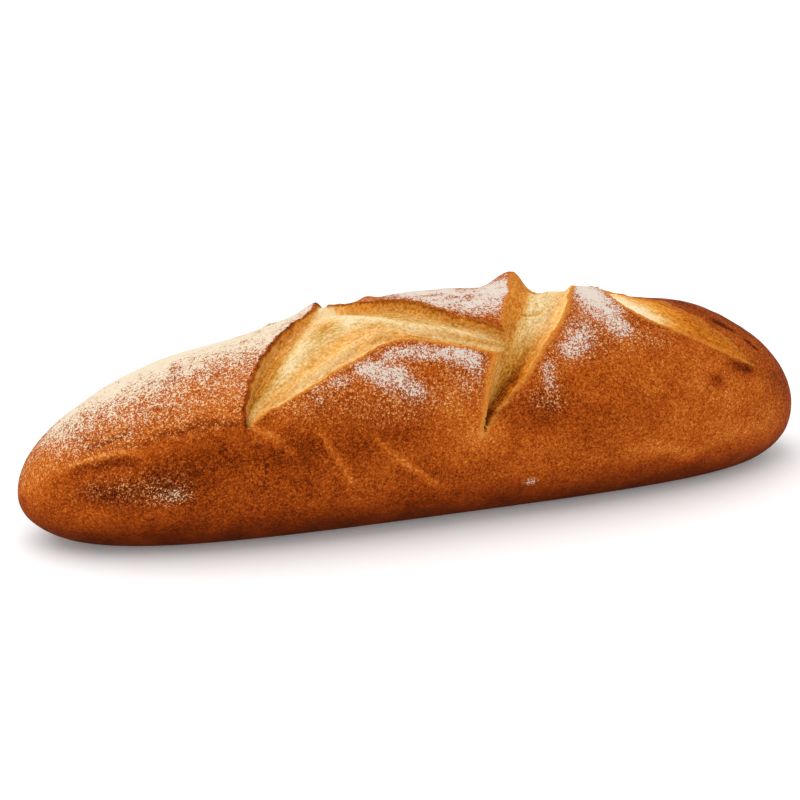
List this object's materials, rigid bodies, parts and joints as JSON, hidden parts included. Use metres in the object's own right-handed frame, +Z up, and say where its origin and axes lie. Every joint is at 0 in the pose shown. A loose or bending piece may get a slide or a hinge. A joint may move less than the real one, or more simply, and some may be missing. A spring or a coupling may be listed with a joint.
{
  "type": "country bread",
  "caption": "Long hand-shaped country bread loaf, slashed diagonally across its crest and torn open in baking, with lifted crust edges and a flat base.",
  "frame": {"origin": "centre of the loaf's box, at the height of the flat base it rests on", "axes": "+X along the loaf, +Z up, and the side with the widest tear faces -Y"},
  "size_m": [0.34, 0.094, 0.0891],
  "materials": {
    "crust": "browned bread crust with a dusting of flour, and pale crumb in the tears"
  },
  "bodies": {
    "root": {"loaf": "crust"}
  },
  "joints": []
}
